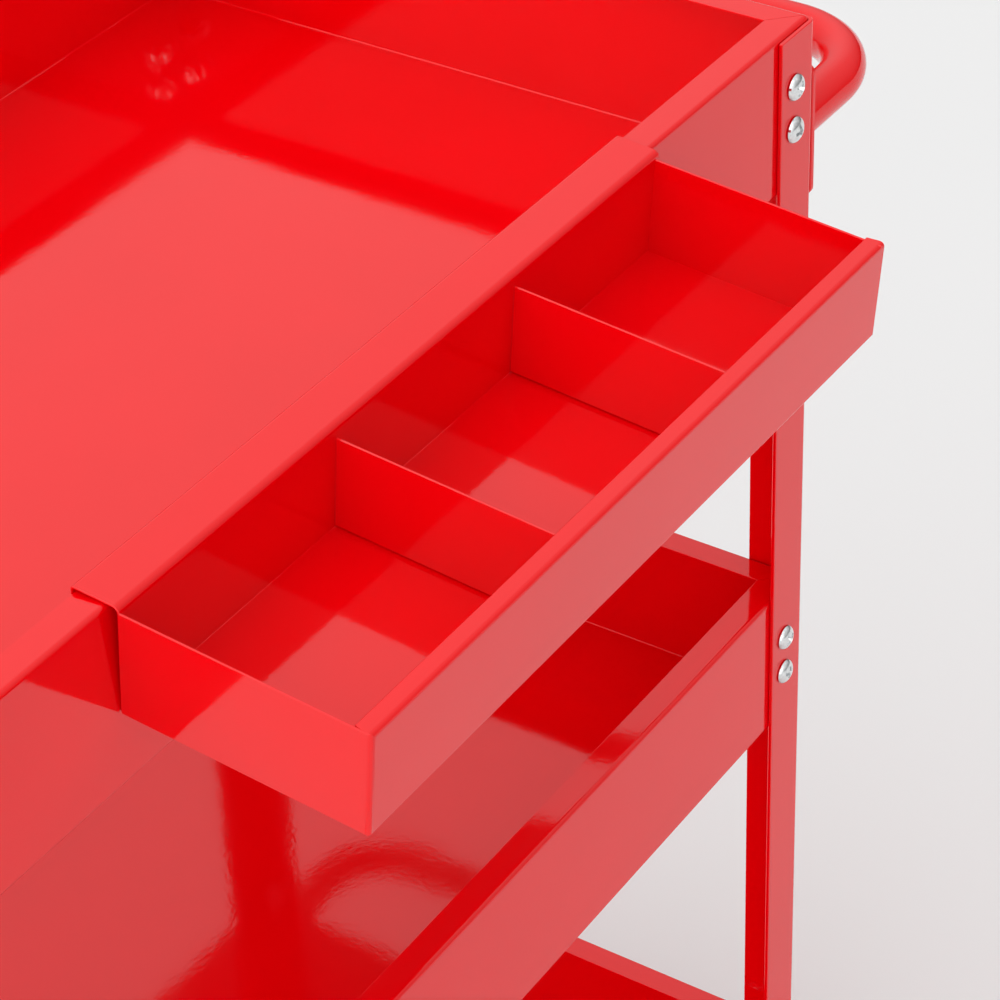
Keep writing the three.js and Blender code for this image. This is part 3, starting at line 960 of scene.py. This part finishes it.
def brake_pedal(name, place):
    """Moulded pedal with a ribbed pad and a finger beside the tread, turning on its pin."""
    node = f"{name}_brake_pedal"
    body = body_of_node(node)
    x, z = BRAKE_PIVOT
    half, boss = 13.5 * MM, 4.5 * MM
    points = [(x - 2.5 * MM, z - 14 * MM), (x + 2.5 * MM, z - 14 * MM), (x + boss, z - 2.5 * MM)]
    points += [(x + 28 * MM, z + 3 * MM), (x + 28 * MM, z + 6.5 * MM), (x + boss, z + boss)]
    points += [(x - boss, z + boss), (x - boss, z - 2.5 * MM)]
    loop = folded(points[-1:] + points + points[:1], 1.2 * MM, 3)[1:-1]
    bm = bmesh.new()
    prism(bm, loop, -half, half, place @ ALONG_Y, MM)
    slope = (6.5 * MM - boss) / (28 * MM - boss)
    for k in range(5):
        start = x + (9 + 3.8 * k) * MM
        level = z + boss + slope * (start - x - boss) - 0.4 * MM
        rib = rounded_rectangle((start, level), (start + 1.4 * MM, level + 1.3 * MM), 0.5 * MM, 3)
        prism(bm, rib, 3 * MM - half, half - 3 * MM, place @ ALONG_Y)
    dress(object_of(f"{node}_moulding", bm), body, "pedal_plastic", node)
    end = CHEEK_OUTSIDE + MM
    bm = bmesh.new()
    pin = [
        (0, -end),
        (2.6 * MM, -end),
        (3.6 * MM, 0.4 * MM - end),
        (3.6 * MM, 0.8 * MM - end),
        (2.5 * MM, MM - end),
    ]
    pin += [(r, -level) for r, level in reversed(pin)]
    lathe(bm, pin, 24, place @ across_at(x, z))
    dress(object_of(f"{node}_pin", bm), body, "zinc_screws")


def across_at(x, z):
    """Local Z along Y, through a point in X and Z."""
    return Matrix.Translation((x, 0, z)) @ Matrix.Rotation(math.radians(90), 4, "X")


def wheel(name, trail, place):
    """Ribbed nylon wheel, rubber tyre, and the bolt with its nut."""
    place = place @ across_at(trail, WHEEL_RADIUS)
    bore, hub, rim = AXLE_RADIUS + 0.4 * MM, 13 * MM, WHEEL_RADIUS - TYRE_DEPTH - FIT_GAP
    web, lip, depth = 3 * MM, WHEEL_WIDTH / 2 - 2 * MM, 5 * MM
    hub_face = HUB_WIDTH / 2
    side = [
        (rim, lip),
        (rim - 0.6 * MM, lip + 0.5 * MM),
        (rim - depth, lip + 0.5 * MM),
        (rim - depth - MM, web + MM),
        (rim - depth - 2 * MM, web),
        (hub + 1.5 * MM, web),
        (hub, web + 1.5 * MM),
        (hub - MM, hub_face),
        (bore + MM, hub_face),
        (bore, hub_face - MM),
    ]
    bm = bmesh.new()
    lathe(bm, side + [(r, -level) for r, level in reversed(side)], 64, place, closed=True)
    core = object_of(f"{name}_wheel_core", bm)
    ribs = bmesh.new()
    rib = (1.1 * MM, 9 * MM)  # half its thickness and half its width
    for k in range(8):
        turn = place @ Matrix.Rotation(k * math.pi / 4, 4, "Z")
        rib_low = (hub - 2 * MM, -rib[0], -rib[1])
        rib_high = (rim - depth + MM, rib[0], rib[1])
        box_prism(ribs, rib_low, rib_high, turn, 0.3 * MM)
    combine(core, object_of("tool", ribs), "UNION")
    dress(core, body_of_node(f"{name}_wheel"), "wheel_plastic", f"{name}_wheel")

    half, seat, out = WHEEL_WIDTH / 2, WHEEL_RADIUS - TYRE_DEPTH, WHEEL_RADIUS
    side = [(seat, half - 0.5 * MM), (seat + 0.6 * MM, half), (out - 5 * MM, half)]
    shoulder = 4 * MM
    for a in (0.4, 0.8, 1.2):
        side.append((out - 5 * MM + shoulder * math.sin(a), half - shoulder + shoulder * math.cos(a)))
    groove = 4.2 * MM
    side += [(out - 0.3 * MM, groove + MM), (out - 0.3 * MM, groove + 0.5 * MM), (out - 1.2 * MM, groove)]
    side += [(out - 1.2 * MM, groove - MM), (out, groove - 1.5 * MM)]
    bm = bmesh.new()
    lathe(bm, side + [(r, -level) for r, level in reversed(side)], 96, place, closed=True)
    dress(object_of(f"{name}_tyre_tread", bm), body_of_node(f"{name}_tyre"), "tyre_rubber", f"{name}_tyre")

    face = CHEEK_OUTSIDE + FIT_GAP
    bm = bmesh.new()
    lathe(bm, [(0, -face), (AXLE_RADIUS, -face), (AXLE_RADIUS, face), (0, face)], 24, place)
    for sign in (1, -1):
        end = place @ Matrix.Rotation(0 if sign > 0 else math.pi, 4, "X")
        lathe(bm, washer_profile(8.2 * MM, 0.9 * MM, AXLE_RADIUS - 0.2 * MM, face), 32, end, closed=True)
        hex_body(bm, 12.2 * MM, face + 0.9 * MM, face + 4.7 * MM, 0, False, end)
    dress(object_of(f"{name}_axle_bolt", bm), body_of_node(f"{name}_axle"), "zinc_screws", f"{name}_axle")


def castor(end, side):
    name = f"castor_{end}_{side}"
    swivels = side == "right"
    low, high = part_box(f"{name}_plate" if swivels else f"{name}_bracket")
    centre = (low + high) / 2
    place = Matrix.Translation((centre.x, centre.y, 0))
    top = high.z
    if swivels:
        crown = ball_race(name, top, place)
        swivel_fork(name, crown, place)
        brake_pedal(name, place)
    else:
        fixed_bracket(name, top, place)
    wheel(name, SWIVEL_TRAIL if swivels else 0, place)
    castor_bolts(name, centre, top)


def castor_bolts(name, centre, top):
    """Four bolts from inside the lower tray through the castor's plate."""
    inside = top + FIT_GAP + TRAY_SHEET
    spots = [(x, y) for x in (-1, 1) for y in (-1, 1)]
    for number, (x, y) in enumerate(spots, 1):
        at = Vector((centre.x + x * BOLT_PITCH[0], centre.y + y * BOLT_PITCH[1], 0))
        turn = Matrix.Rotation(math.radians(29 * number), 4, "Z")
        head = facing(at + Vector((0, 0, inside)), (0, 0, 1)) @ turn
        put(f"{name}_bolt_{number}", CASTOR_BOLT, head, "trolley", "zinc_screws")
        under = facing(at + Vector((0, 0, top - PLATE_SHEET)), (0, 0, -1)) @ turn
        put(f"{name}_nut_{number}", NUT, under, "trolley", "zinc_screws")


NUT = nut_mesh()
CASTOR_BOLT = screw_mesh("castor_bolt", 12 * MM)

for tray_name in ("lower_tray", "middle_tray", "upper_tray"):
    tray(tray_name)
for leg_name in ("leg_front_left", "leg_front_right", "leg_back_left", "leg_back_right"):
    leg(leg_name)
hook_tray()
for number in (1, 2):
    divider(f"hook_tray_divider_{number}")
screws()
push_handle()
for castor_end in ("front", "back"):
    for castor_side in ("left", "right"):
        castor(castor_end, castor_side)

add_camera()
add_light()
add_floor()
